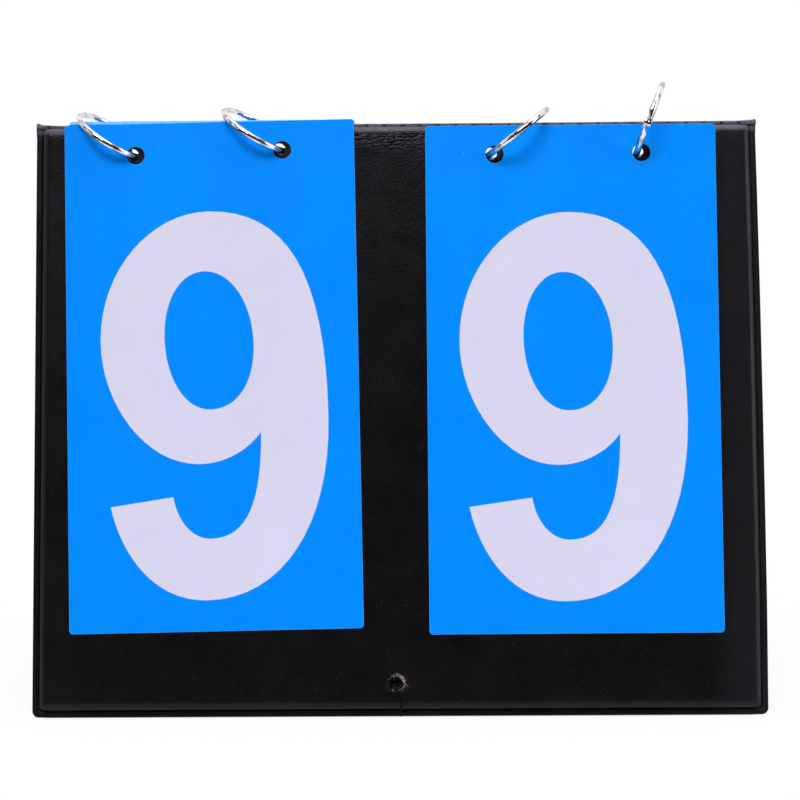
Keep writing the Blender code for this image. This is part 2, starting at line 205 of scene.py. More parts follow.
def join_rows(bm, rows, capped=True):
    """Faces between rows of vertices that each go round, and the two end faces."""
    count = len(rows[0])
    for near, far in zip(rows, rows[1:]):
        for i in range(count):
            j = (i + 1) % count
            bm.faces.new((near[i], near[j], far[j], far[i]))
    if capped:
        bm.faces.new(rows[0])
        bm.faces.new(rows[-1])


def push_out(bm, faces, way):
    """Gives flat faces a thickness."""
    grown = bmesh.ops.extrude_face_region(bm, geom=faces)
    moved = [v for v in grown["geom"] if isinstance(v, bmesh.types.BMVert)]
    bmesh.ops.translate(bm, vec=way, verts=moved)


def apply_cuts(piece, cutters):
    """Takes the cutters' shapes out of a piece for good, and removes the cutters."""
    for cutter in cutters:
        modifier = piece.modifiers.new("cut", "BOOLEAN")
        modifier.operation = "DIFFERENCE"
        modifier.solver = "EXACT"
        modifier.object = cutter
    bpy.context.view_layer.update()
    shown = piece.evaluated_get(bpy.context.evaluated_depsgraph_get())
    done = bpy.data.meshes.new_from_object(shown)
    piece.modifiers.clear()
    old = piece.data
    piece.data = done
    bpy.data.meshes.remove(old)
    for cutter in cutters:
        bpy.data.objects.remove(cutter)


def smooth_step(low, high, value):
    """0 below low, 1 above high, and an even S between."""
    t = max(0.0, min(1.0, (value - low) / (high - low)))
    return t * t * (3 - 2 * t)


def full_turn(count):
    """Angles spread evenly round a circle."""
    return [2 * math.pi * i / count for i in range(count)]


def corner_arc(x, z, radius, start, steps):
    """Points (x, z) along a quarter turn about a centre."""
    turns = [math.radians(start + 90 * i / steps) for i in range(steps + 1)]
    return [(x + radius * math.cos(a), z + radius * math.sin(a)) for a in turns]


class Nodes:
    """A short way to write a node tree."""

    def __init__(self, owner):
        owner.use_nodes = True
        self.tree = owner.node_tree

    def feed(self, socket, value):
        """Joins an output to a socket, or sets the socket's own value."""
        if isinstance(value, bpy.types.NodeSocket):
            self.tree.links.new(value, socket)
        else:
            socket.default_value = value

    def add(self, kind, sources=None, **settings):
        """Adds a node; sources feed its sockets, and settings are its properties or its sockets' values."""
        node = self.tree.nodes.new("ShaderNode" + kind)
        for key, value in settings.items():
            if hasattr(node, key):
                setattr(node, key, value)
            else:
                node.inputs[key.replace("_", " ")].default_value = value
        for socket, source in (sources or {}).items():
            self.feed(node.inputs[socket], source)
        return node

    def split(self, source):
        """X, Y and Z of a vector."""
        return self.add("SeparateXYZ", {0: source}).outputs

    def maths(self, operation, *values):
        """One sum of numbers or outputs."""
        return self.add("Math", dict(enumerate(values)), operation=operation).outputs[0]

    def span(self, source, low, high, kind="LINEAR"):
        """0 where the source is low, and 1 where it is high."""
        node = self.add("MapRange", {"Value": source}, interpolation_type=kind, From_Min=low, From_Max=high)
        return node.outputs["Result"]

    def ramp(self, source, *stops):
        """A colour ramp; stops are (position, grey or colour)."""
        node = self.add("ValToRGB", {"Fac": source})
        elements = node.color_ramp.elements
        while len(elements) < len(stops):
            elements.new(0.5)
        for element, (position, value) in zip(elements, stops):
            element.position = position
            colour = value if isinstance(value, tuple) else (value, value, value)
            element.color = (*colour, 1.0)
        return node.outputs["Color"]

    def mix(self, share, first, second):
        """Two colours mixed."""
        return self.add("Mix", {0: share, 6: first, 7: second}, data_type="RGBA").outputs[2]

    def mix_shader(self, share, first, second, output):
        """Ends the tree with two shaders mixed."""
        both = self.add("MixShader", {0: share, 1: first.outputs[0], 2: second.outputs[0]})
        self.add(output, {0: both.outputs[0]})


class Finish(Nodes):
    """A procedural material over an object's own coordinates, in metres."""

    def __init__(self, name):
        self.material = bpy.data.materials.new(name)
        super().__init__(self.material)
        self.place = self.add("TexCoord").outputs["Object"]

    def noise(self, scale, detail, roughness, source=None):
        """A noise between 0 and 1."""
        node = self.add("TexNoise", {"Vector": source or self.place},
                        Scale=scale, Detail=detail, Roughness=roughness)
        return node.outputs["Fac"]

    def cells(self, scale, source=None, **settings):
        """Distances in a pattern of cells."""
        node = self.add("TexVoronoi", {"Vector": source or self.place}, Scale=scale, **settings)
        return node.outputs["Distance"]

    def stretched(self, scale, turn=0.0):
        """The place, scaled, and turned about Y."""
        return self.add("Mapping", {"Vector": self.place}, Scale=scale, Rotation=(0.0, turn, 0.0)).outputs[0]

    def bump(self, height, strength, distance, normal=None):
        """A bump from a height, over another bump."""
        sources = {"Height": height}
        if normal is not None:
            sources["Normal"] = normal
        return self.add("Bump", sources, Strength=strength, Distance=distance).outputs["Normal"]

    def done(self, **values):
        """Sets or feeds the shader's sockets and returns the material."""
        shader = self.tree.nodes["Principled BSDF"]
        for key, value in values.items():
            self.feed(shader.inputs[key.replace("_", " ")], value)
        return self.material


# Camera, light and floor

def set_camera():
    """The photograph's camera."""
    turn = (Matrix.Rotation(CAMERA_YAW, 4, "Z") @ Matrix.Rotation(math.pi / 2 - CAMERA_RISE, 4, "X")
            @ Matrix.Rotation(CAMERA_ROLL, 4, "Z"))
    data = bpy.data.cameras.new("photo_camera")
    data.sensor_width = SENSOR
    data.lens = FOCAL_PIXELS * SENSOR / FRAME_PIXELS
    data.clip_start = 0.05
    camera = bpy.data.objects.new("photo_camera", data)
    bpy.context.scene.collection.objects.link(camera)
    eye = (CAMERA_AIM + turn @ Vector((0, 0, CAMERA_DISTANCE))) * MM
    camera.matrix_world = Matrix.Translation(eye) @ turn
    bpy.context.scene.camera = camera


def soft_light(name, place, aim, size, power):
    """A rectangular softbox that looks at a point; places are in metres and power in watts."""
    data = bpy.data.lights.new(name, "AREA")
    data.shape = "RECTANGLE"
    data.size, data.size_y = size
    data.energy = power
    light = bpy.data.objects.new(name, data)
    bpy.context.scene.collection.objects.link(light)
    way = Vector(aim) - Vector(place)
    light.matrix_world = Matrix.Translation(place) @ way.to_track_quat("-Z", "Y").to_matrix().to_4x4()


def set_world():
    """White behind the object and in its metal; for other light, bright above and behind and dim in front."""
    world = bpy.data.worlds.new("studio")
    bpy.context.scene.world = world
    n = Nodes(world)
    n.tree.nodes.clear()
    way = n.split(n.add("TexCoord").outputs["Generated"])
    behind = n.span(way["Y"], -0.12, 0.12)
    above = n.span(way["Z"], 0.6, 0.85)
    level = n.add("MapRange", {"Value": n.maths("MAXIMUM", behind, above)}, To_Min=0.05, To_Max=1.0)
    room = n.add("Background", {"Strength": level.outputs["Result"]})
    white = n.add("Background", Color=(1, 1, 1, 1), Strength=1.0)
    ray = n.add("LightPath").outputs
    mirrored = n.maths("MAXIMUM", ray["Is Glossy Ray"], ray["Is Transmission Ray"])
    shown = n.maths("MAXIMUM", ray["Is Camera Ray"], n.maths("MULTIPLY", mirrored, behind))
    n.mix_shader(shown, room, white, "OutputWorld")


def set_floor():
    """A plain pale floor that keeps the object's shadow and runs out into the white background."""
    made = bpy.data.materials.new("floor_white")
    n = Nodes(made)
    n.tree.nodes.clear()
    matte = n.add("BsdfDiffuse", Color=(0.8, 0.8, 0.8, 1))
    glow = n.add("Emission")
    place = n.split(n.add("TexCoord").outputs["Object"])
    across, along = (n.maths("DIVIDE", n.maths("ABSOLUTE", place[axis]), size * MM)
                     for axis, size in FOOTPRINT)
    far_off = n.ramp(n.maths("MAXIMUM", across, along), (0.476, 0.0), (0.486, 0.9), (0.8, 1.0), (1.0, 1.0))
    ray = n.add("LightPath").outputs
    direct = n.maths("MAXIMUM", ray["Is Camera Ray"], ray["Is Glossy Ray"])
    direct = n.maths("MAXIMUM", direct, ray["Is Transmission Ray"])
    n.mix_shader(n.maths("MULTIPLY", direct, far_off), matte, glow, "OutputMaterial")
    bm = bmesh.new()
    bmesh.ops.create_grid(bm, x_segments=1, y_segments=1, size=420.0)
    floor = add_piece("floor", mesh_from(bm, "floor"), made, Matrix.Translation((0, 0, -0.0002)), False)


def set_stage():
    """Camera, studio and view."""
    bpy.context.scene.view_settings.view_transform = "Standard"
    set_camera()
    set_world()
    set_floor()
    soft_light("key_above", (-0.2, -0.75, 1.15), (0, 0, 0.1), (0.7, 0.4), 9.3)
    soft_light("fill_left", (-1.1, -0.5, 0.5), (0, 0, 0.1), (0.3, 0.9), 1.6)
    soft_light("fill_right", (1.1, -0.4, 0.5), (0, 0, 0.1), (0.3, 0.9), 5.2)
    soft_light("rim_above", (0.1, 0.05, 1.1), (0, 0, 0.2), (1.0, 0.5), 3.4)


# Materials

def vinyl_material():
    """Black grained leatherette with a painted sheen that lightens it at the margins, a painted purple-grey
    highlight on the fold by the marked ridge, and wrinkles there.
    """
    n = Finish("vinyl_black")
    place = n.split(n.place)
    cloud = n.noise(34.0, 4.0, 0.6)
    tone = n.ramp(cloud, (0.3, (0.0019, 0.0018, 0.0021)), (0.7, (0.0034, 0.0031, 0.0038)))
    speck = n.ramp(n.noise(2300.0, 1.0, 0.4), (0.745, 0.0), (0.785, 1.0))
    tone = n.mix(speck, tone, (0.055, 0.05, 0.06, 1))
    across = n.maths("ADD", n.maths("MULTIPLY", place["X"], 3.6), 0.5)
    # Painted sheen: the base colour is made lighter near the side margins, most towards +X, in place of the
    # side lamps' sheen.
    painted_margin_sheen = n.ramp(across, (0.075, 0.25), (0.111, 0.0), (0.889, 0.0), (0.925, 1.0))
    tone = n.mix(painted_margin_sheen, tone, (0.0085, 0.008, 0.0096, 1))
    # Painted highlight: a patchy purple-grey band along the top of the fold under the ridge, left off the
    # pressed tick marks.
    from_mark = n.maths("PINGPONG", n.maths("SUBTRACT", place["X"], TICK_PHASE * MM), TICK_PITCH / 2 * MM)
    beside = n.ramp(n.maths("DIVIDE", from_mark, TICK_PITCH / 2 * MM), (0.14, 0.0), (0.26, 1.0))
    unmarked = n.maths("MAXIMUM", beside, n.maths("LESS_THAN", place["Z"], -2.0 * MM))
    on_fold = n.span(place["Z"], -4.9 * MM, -3.3 * MM, "SMOOTHSTEP")
    patchy = n.ramp(cloud, (0.3, 0.6), (0.7, 0.95))
    painted_fold_highlight = n.maths("MULTIPLY", n.maths("MULTIPLY", unmarked, on_fold), patchy)
    tone = n.mix(painted_fold_highlight, tone, (0.105, 0.085, 0.12, 1))
    gloss = n.ramp(n.noise(90.0, 3.0, 0.6), (0.25, 0.27), (0.75, 0.38))
    pebbles = n.ramp(n.cells(1050.0, feature="DISTANCE_TO_EDGE"), (0.0, 0.0), (0.16, 1.0))
    fine = n.bump(pebbles, 0.2, 0.0001)
    soft = n.bump(n.noise(420.0, 3.0, 0.55), 0.14, 0.0003, fine)
    creases = n.cells(740.0, n.stretched((0.5, 1.0, 1.25)), feature="DISTANCE_TO_EDGE")
    folds = n.ramp(creases, (0.0, 0.0), (0.3, 1.0))
    inside = n.ramp(across, (0.08, 0.1), (0.13, 1.0), (0.87, 1.0), (0.92, 0.1))
    near_ridge = n.span(place["Z"], -12.5 * MM, -3.0 * MM, "SMOOTHSTEP")
    puckers = n.maths("MULTIPLY", n.maths("MULTIPLY", folds, inside), near_ridge)
    return n.done(Base_Color=tone, Roughness=gloss, Normal=n.bump(puckers, 0.5, 0.0004, soft),
                  Specular_IOR_Level=0.21, Specular_Tint=(0.9, 0.84, 1.0, 1))


def lining_material():
    """The matt woven-backed inside of the vinyl."""
    n = Finish("vinyl_lining")
    tone = n.ramp(n.noise(60.0, 4.0, 0.6), (0.3, (0.008, 0.008, 0.009)), (0.7, (0.014, 0.014, 0.016)))
    dull = n.ramp(n.noise(300.0, 2.0, 0.5), (0.3, 0.55), (0.7, 0.72))
    weave = n.bump(n.cells(1300.0, feature="F1", Randomness=0.35), 0.4, 0.00015)
    return n.done(Base_Color=tone, Roughness=dull, Normal=n.bump(n.noise(45.0, 3.0, 0.5), 0.5, 0.001, weave),
                  Specular_IOR_Level=0.2)


def board_material():
    """Grey chipboard with flecks and a fibrous edge."""
    n = Finish("chipboard")
    flecks = n.noise(900.0, 5.0, 0.7, n.stretched((1.0, 4.0, 1.0)))
    tone = n.ramp(flecks, (0.25, (0.22, 0.17, 0.12)), (0.5, (0.42, 0.35, 0.27)), (0.8, (0.6, 0.54, 0.46)))
    return n.done(Base_Color=tone, Roughness=0.92, Normal=n.bump(flecks, 0.6, 0.0004), Specular_IOR_Level=0.2)


def fray_material():
    """Torn board fibres: tan at the upper right of the hole, and dull grey elsewhere."""
    n = Finish("torn_fibres")
    place = n.split(n.place)
    flecks = n.noise(1500.0, 4.0, 0.7)
    toward = n.maths("ADD", n.maths("MULTIPLY", place["X"], 0.74), n.maths("MULTIPLY", place["Z"], 0.67))
    tan = n.ramp(flecks, (0.3, (0.08, 0.06, 0.05)), (0.5, (0.34, 0.27, 0.22)), (0.68, (0.8, 0.74, 0.7)))
    dull = n.ramp(flecks, (0.35, (0.02, 0.019, 0.018)), (0.58, (0.07, 0.067, 0.066)),
                  (0.72, (0.36, 0.35, 0.35)))
    tone = n.mix(n.span(toward, -0.5 * MM, 2.4 * MM), dull, tan)
    return n.done(Base_Color=tone, Roughness=0.95, Normal=n.bump(flecks, 0.7, 0.0003), Specular_IOR_Level=0.1)


def card_material():
    """Bright blue sheet with a soft even shine, light handling marks and a few specks."""
    n = Finish("card_blue")
    tone = n.ramp(n.noise(22.0, 4.0, 0.55), (0.3, (0.0, 0.238, 0.96)), (0.7, (0.0, 0.266, 1.0)))
    speck = n.ramp(n.noise(1500.0, 1.0, 0.3), (0.835, 0.0), (0.86, 1.0))
    tone = n.mix(speck, tone, (0.32, 0.55, 1.0, 1))
    shine = n.ramp(n.noise(70.0, 5.0, 0.6), (0.25, 0.42), (0.75, 0.56))
    scuffs = n.noise(900.0, 2.0, 0.5, n.stretched((1.0, 1.0, 0.08), math.radians(28)))
    waves = n.bump(n.noise(14.0, 2.0, 0.4), 0.25, 0.002, n.bump(scuffs, 0.06, 0.0002))
    return n.done(Base_Color=tone, Roughness=shine, Normal=waves, Specular_IOR_Level=0.045)


def card_edge_material():
    """The paler cut edge of a card."""
    n = Finish("card_edge")
    tone = n.ramp(n.noise(500.0, 2.0, 0.5), (0.3, (0.05, 0.34, 0.9)), (0.7, (0.16, 0.5, 1.0)))
    shine = n.ramp(n.noise(800.0, 2.0, 0.5), (0.3, 0.45), (0.7, 0.6))
    return n.done(Base_Color=tone, Roughness=shine, Specular_IOR_Level=0.3)


def ink_material():
    """Lavender-white printed film with a slightly uneven lay."""
    n = Finish("number_ink")
    tone = n.ramp(n.noise(30.0, 5.0, 0.6), (0.25, (0.65, 0.63, 0.81)), (0.75, (0.685, 0.665, 0.845)))
    shine = n.ramp(n.noise(120.0, 4.0, 0.6), (0.25, 0.45), (0.75, 0.6))
    return n.done(Base_Color=tone, Roughness=shine, Normal=n.bump(n.noise(700.0, 3.0, 0.5), 0.08, 0.0002),
                  Specular_IOR_Level=0.25)


def chrome_material():
    """Bright nickel plate with faint drawing marks; its colour varies at random down to darker brownish-grey
    patches, partly dull plate and partly a painted darker reflection.
    """
    n = Finish("ring_chrome")
    # Painted reflection in part: the brownish-grey low end of the colour stands in for dark surroundings seen
    # in the metal.
    tone = n.ramp(n.noise(160.0, 3.0, 0.5), (0.42, (0.4, 0.36, 0.34)), (0.58, (0.86, 0.85, 0.86)))
    shine = n.ramp(n.noise(700.0, 4.0, 0.6), (0.3, 0.03), (0.75, 0.09))
    return n.done(Base_Color=tone, Roughness=shine, Normal=n.bump(n.noise(260.0, 2.0, 0.5), 0.3, 0.0006),
                  Metallic=1.0)


def string_material():
    """Black twisted cotton."""
    n = Finish("tether_string")
    fibres = n.noise(4200.0, 3.0, 0.7)
    tone = n.ramp(fibres, (0.3, (0.001, 0.001, 0.001)), (0.75, (0.006, 0.006, 0.007)))
    return n.done(Base_Color=tone, Normal=n.bump(fibres, 0.6, 0.0001), Roughness=0.9,
                  Specular_IOR_Level=0.1, Sheen_Weight=0.02, Sheen_Roughness=0.5)


def make_materials():
    """Every finish, by name."""
    return {
        "vinyl": vinyl_material(),
        "lining": lining_material(),
        "board": board_material(),
        "fray": fray_material(),
        "card": card_material(),
        "card_edge": card_edge_material(),
        "ink": ink_material(),
        "chrome": chrome_material(),
        "string": string_material(),
    }


# Covers and ridge

def board_edges(inset):
    """Half width, top and bottom of a board's outline, drawn in from the edge of its weld."""
    if inset < WELD_WIDTH:
        top_inset = inset * TOP_WELD_WIDTH / WELD_WIDTH
    else:
        top_inset = inset - WELD_WIDTH + TOP_WELD_WIDTH
    return BOARD_WIDTH / 2 - inset, -BOARD_TOP - top_inset, inset - BOARD_LENGTH - FOOT_TRIM


def flare(x, z, sign):
    """How far the front board's right side runs out, as in the photograph; the rear board is left plain."""
    if sign < 0 or x < 0:
        return 0.0
    places, amounts = zip(*FLARE)
    return float(np.interp(z, places, amounts)) * min(1.0, x / (BOARD_WIDTH / 2))**4


def board_loop(inset):
    """A board's outline as evenly spread (x, z) points; its top corners run out in small pointed ears."""
    half, top, bottom = board_edges(inset)
    low_radius = max(CORNER_RADIUS - 0.3 * inset, 0.8)
    top_radius = min(0.6 + 0.4 * inset, 1.6)
    arcs = []
    for x, z, start, radius in ((half, top, 0, top_radius), (-half, top, 90, top_radius),
                                (-half, bottom, 180, low_radius), (half, bottom, 270, low_radius)):
        cx = x - math.copysign(radius, x)
        cz = z - radius if z == top else z + radius
        arcs.append(corner_arc(cx, cz, radius, start, CORNER_STEPS))
    points = []
    for i, count in enumerate((ACROSS, DOWN, ACROSS, DOWN)):
        a, b = arcs[i][-1], arcs[(i + 1) % 4][0]
        points += arcs[i]
        points += [(a[0] + (b[0] - a[0]) * k / count, a[1] + (b[1] - a[1]) * k / count)
                   for k in range(1, count)]
    ear = max(0.0, 1 - inset / WELD_WIDTH)
    grown = []
    for x, z in points:
        if z > top - 3:
            near = smooth_step(half - 2.6, half - 0.4, abs(x))
            x, z = x + math.copysign(0.2 * ear * near, x), z + EAR_RISE * ear * near
        grown.append((x, z))
    return grown


def relief(x, z, out, sign):
    """How far the vinyl stands proud of the flat board, or sinks, in millimetres."""
    spot = Vector((x * sign, z, 7.0 * sign))
    half, top, bottom = board_edges(0.0)
    edge = min(half - abs(x), top - z, z - bottom)
    swell = 0.07 * noise.noise(spot * 0.028) + 0.03 * noise.noise(spot * 0.11)
    padded = smooth_step(2.3, 3.4, edge) * (1 - smooth_step(6.0, 13.0, edge))
    swell += padded * (0.16 * noise.noise(spot * 0.075) + 0.07 * noise.noise(spot * 0.35))
    creases = smooth_step(112.0, 118.0, x * sign) * (1 - smooth_step(-60.0, -20.0, z))
    swell -= 0.05 * creases * max(0.0, 1 - abs(noise.noise(Vector((0.22 * x + 0.07 * z, 0.05 * z, 3.0)))) * 9)
    for hole_x, hole_z, diameter in HOLES[sign]:
        gap = math.hypot(x - hole_x, z - hole_z) - diameter / 2
        if gap < 4:
            swell -= 0.14 * (1 - smooth_step(0.0, 3.0, gap))
    return swell * smooth_step(1.0, 2.6, out)


def hole_across(ring):
    """How far across the boards a ring's holes are."""
    return DECKS[ring["deck"]]["middle"] + ring["side"] * HOLE_SPACING / 2


def hole_drop(ring):
    """How far below the ridge a ring's holes are."""
    deck = DECKS[ring["deck"]]
    tilt = ring["side"] * HOLE_SPACING / 2 * math.sin(deck["turn"] + deck["punch"])
    return deck["top"] + CARD_HOLE_DROP - tilt


def ring_place(ring, height):
    """The middle of the line between a ring's holes, in metres, from the line's height."""
    return Vector((hole_across(ring) + ring["shift"], 0, height)) * MM


def wire_hole(ring):
    """The front skin's own hole for a ring, round the line the ring swings about: (x, z, diameter)."""
    place = ring_place(ring, board_point(1, hole_drop(ring), CHORD_FACE).y)
    way = Matrix.Rotation(math.radians(ring["yaw"]), 4, "Z") @ Vector((0, 1, 0)) * MM
    into = board_matrix("front").inverted()
    a, b = into @ place, into @ (place + way)
    spot = a.lerp(b, (-BOARD_THICKNESS * MM - a.y) / (b.y - a.y))
    return spot.x / MM, spot.z / MM, WIRE_HOLE


def board_holes(sign):
    """The punched holes of a board as (x, z, diameter)."""
    if sign > 0:
        holes = [wire_hole(ring) for ring in RINGS.values()]
    else:
        holes = [(-hole_across(ring), -hole_drop(ring), RING_HOLE) for ring in RINGS.values()]
    return holes + [(sign * TETHER_HOLE_X, -TETHER_HOLE_DROP, TETHER_HOLE)]


HOLES = {sign: board_holes(sign) for sign in (-1, 1)}


def cover_mesh(name, sign):
    """The welded vinyl skin: flange, fine weld groove, soft rounded edge, and the cavity for the core."""
    rise = BOARD_THICKNESS - WELD_THICKNESS
    wall = WELD_WIDTH + SIDE_WALL
    flange = WELD_THICKNESS
    cavity = [(BOARD_THICKNESS - VINYL_THICKNESS, wall + 2.0), (flange + 0.45 * rise, wall), (0.0, wall)]
    levels = cavity + [(0.0, 0.12), (0.12, 0.0), (flange - 0.2, 0.0), (flange - 0.03, 0.14), (flange, 0.5),
                       (flange, 1.5), (flange - 0.05, 1.85), (flange - 0.32, 2.1), (flange - 0.22, 2.28)]
    for step in range(11):
        a = math.radians(9 * step)
        levels.append((flange + rise * math.sin(a), WELD_WIDTH + ROUNDING * (1 - math.cos(a))))
    bm = bmesh.new()
    loops = []
    for out, inset in levels:
        loop = []
        for x, z in board_loop(inset):
            z = max(z, -(RIDGE_HEIGHT + out * math.sin(LEAN_BACK)) / math.cos(LEAN_BACK))
            proud = 0.0 if len(loops) < len(cavity) else relief(x, z, out, sign)
            loop.append(bm.verts.new((x + flare(x, z, sign), -out - proud, z)))
        loops.append(loop)
    join_rows(bm, loops, capped=False)
    bm.faces.new(loops[0])
    half, top, bottom = board_edges(INNER_EDGE)
    grid = []
    for row in range(DOWN + 1):
        z = bottom + (top - bottom) * row / DOWN
        line = []
        for k in range(ACROSS + 1):
            x = -half + 2 * half * k / ACROSS
            proud = relief(x, z, BOARD_THICKNESS, sign)
            line.append(bm.verts.new((x + flare(x, z, sign), -BOARD_THICKNESS - proud, z)))
        grid.append(line)
    for row in range(DOWN):
        for k in range(ACROSS):
            bm.faces.new((grid[row][k], grid[row][k + 1], grid[row + 1][k + 1], grid[row + 1][k]))
    sides = (grid[DOWN][::-1], [row[0] for row in grid[::-1]], grid[0], [row[ACROSS] for row in grid])
    border = []
    for side in sides:
        border += [side[0]] * (CORNER_STEPS + 1) + side[1:-1]
    last = loops[-1]
    for i in range(len(last)):
        j = (i + 1) % len(last)
        if border[i] is border[j]:
            bm.faces.new((last[i], last[j], border[i]))
        else:
            bm.faces.new((last[i], last[j], border[j], border[i]))
    return mesh_from(bm, name)


def bar_cutter(x, z, diameter, matrix):
    """A round cutter that stands out of a board."""
    bm = bmesh.new()
    place = Matrix.Translation((x, 0, z)) @ Matrix.Rotation(math.pi / 2, 4, "X")
    bmesh.ops.create_cone(bm, cap_ends=True, segments=56, radius1=diameter / 2, radius2=diameter / 2,
                          depth=20, matrix=place)
    return add_piece("hole_cutter", mesh_from(bm, "hole_cutter"), None, matrix)


def string_slot_cutter(sign, matrix):
    """The little gap that lets the string pass under a board's edge."""
    x = sign * STRING_X
    radius = TETHER_DIAMETER / 2 + 0.03
    peak = 0.5 - BOARD_LENGTH
    bm = bmesh.new()
    outline = [(x + radius * math.cos(a), peak + radius * math.sin(a))
               for a in [math.pi * i / 12 for i in range(13)]]
    outline += [(x - radius, -BOARD_LENGTH - 3), (x + radius, -BOARD_LENGTH - 3)]
    face = bm.faces.new([bm.verts.new((px, -WELD_THICKNESS - 1, pz)) for px, pz in outline])
    push_out(bm, [face], (0, WELD_THICKNESS + 3, 0))
    return add_piece("slot_cutter", mesh_from(bm, "slot_cutter"), None, matrix)


def build_covers(finish):
    """Both boards' skins, which stand for the plain covers."""
    for side, sign in (("front", 1), ("rear", -1)):
        matrix = board_matrix(side)
        name = side + "_cover_skin"
        skin = add_piece(name, cover_mesh(name, sign), finish["vinyl"], matrix, False)
        cutters = [bar_cutter(*hole, matrix) for hole in HOLES[sign]]
        cutters.append(string_slot_cutter(sign, matrix))
        apply_cuts(skin, cutters)
        skin.data.materials.clear()
        skin.data.materials.append(finish["vinyl"])
        skin.data.shade_smooth()
        skin.data.set_sharp_from_angle(angle=math.radians(38))
        declare(skin, side + "_board", side + "_cover")


def tick_depth(x):
    """Depth of the ridge weld's cross marks at a point along it."""
    away = (x - TICK_PHASE + TICK_PITCH / 2) % TICK_PITCH - TICK_PITCH / 2
    return TICK_DEPTH * (1 - smooth_step(TICK_WIDTH * 0.3, TICK_WIDTH, abs(away)))


def build_ridge(finish):
    """The vinyl fold over the ridge, with its pressed weld marks."""
    rise, reach = 0.36, 1.28
    side = [board_point(-1, drop, 0.95) for drop in (2.05, 1.9, 1.75, 1.6, 1.45)]
    cap = [Vector((-reach * math.cos(a), FOLD_TOP - rise + rise * math.sin(a)))
           for a in [math.pi * step / 12 for step in range(13)]]
    profile = side + cap + [Vector((-point.x, point.y)) for point in side[::-1]]
    last = len(profile) - 1
    inward = []
    for i in range(len(profile)):
        way = profile[min(i + 1, last)] - profile[max(i - 1, 0)]
        inward.append(Vector((way.y, -way.x)).normalized())
    half = BOARD_WIDTH / 2 - 0.1
    bm = bmesh.new()
    sections = []
    for x in map(float, np.arange(-half, half + 0.1, 0.21)):
        mark = tick_depth(x)
        lift = 0.05 * noise.noise(Vector((x * 0.15, 2.0, 0.0)))
        lift += 0.35 * smooth_step(half - 9.0, half, abs(x)) + 0.25 * smooth_step(20.0, 118.0, x)
        outer, inner = [], []
        for i, (point, normal) in enumerate(zip(profile, inward)):
            depth = mark * (1.0 if min(i, last - i) < 9 else 0.35) - lift
            skin = point + normal * depth
            outer.append(bm.verts.new((x, skin.x, skin.y)))
            under = point + normal * (FOLD_WALL - lift)
            inner.append(bm.verts.new((x, under.x, under.y)))
        sections.append(outer + inner[::-1])
    join_rows(bm, sections)
    fold = add_piece("ridge_fold", mesh_from(bm, "ridge_fold"), finish["vinyl"])
    declare(fold, node="ridge_bead")
    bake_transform(fold)


# Cards and numbers

